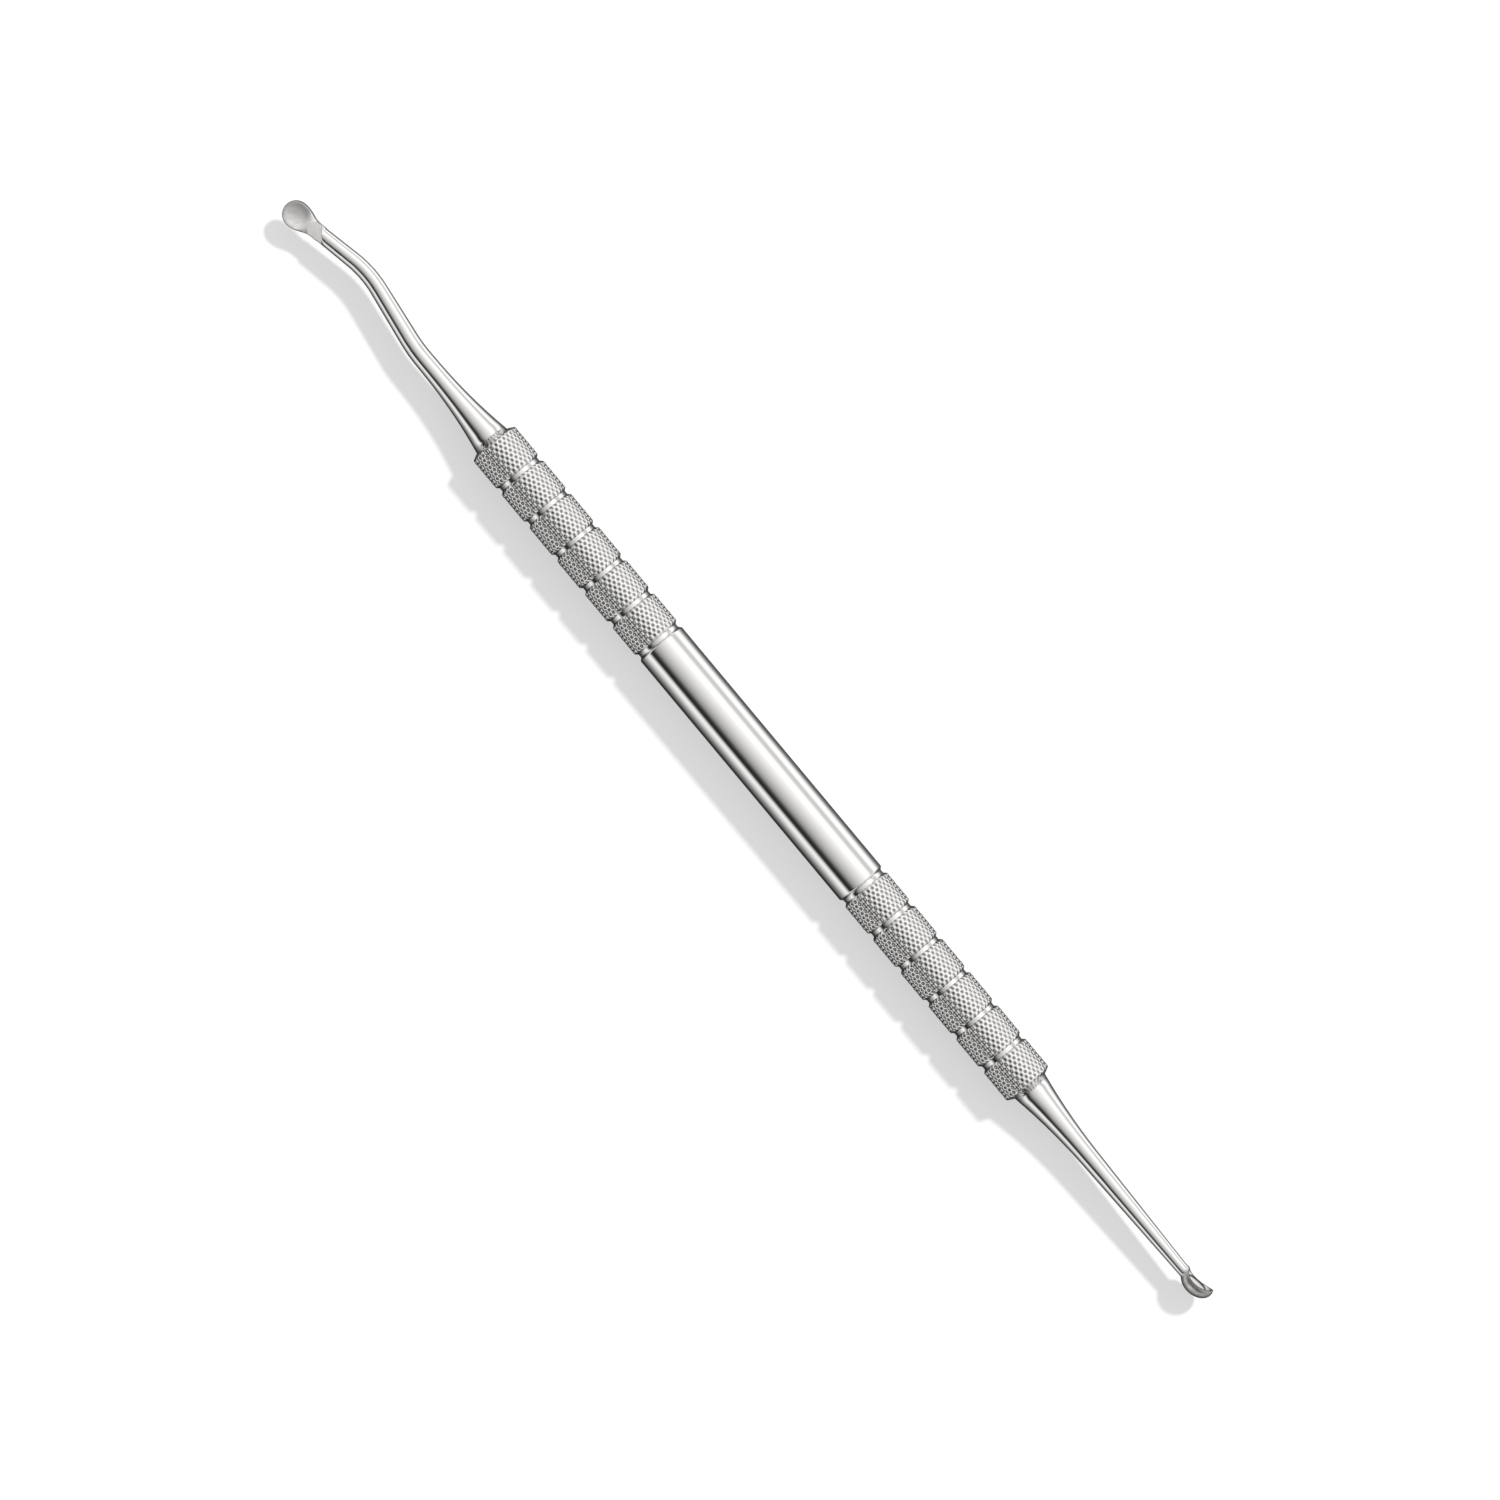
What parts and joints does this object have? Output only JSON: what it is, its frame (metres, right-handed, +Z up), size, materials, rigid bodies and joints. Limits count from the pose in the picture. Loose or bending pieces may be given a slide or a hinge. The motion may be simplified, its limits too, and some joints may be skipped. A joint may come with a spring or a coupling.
{
  "type": "cuticle pusher",
  "caption": "Double-ended steel nail tool: a knurled round handle with a dished spoon pusher on a bent shank at one end and a small scoop on a straight shank at the other.",
  "frame": {"origin": "on the handle's axis, halfway along the handle and in the middle of its plain stretch", "axes": "+X along the handle's axis, from the pusher end to the scoop end; +Z up as the tool lies with its pusher face upwards; +Y sideways, the way the scoop's mouth faces"},
  "size_m": [0.1601, 0.006, 0.006],
  "materials": {
    "handle_steel": "mirror-polished stainless bar, with bright diamond knurling",
    "tip_steel": "mirror-polished stainless shank, satin-ground working face"
  },
  "bodies": {
    "root": {"handle": "handle_steel", "pusher_end": "tip_steel", "scoop_end": "tip_steel"}
  },
  "joints": []
}
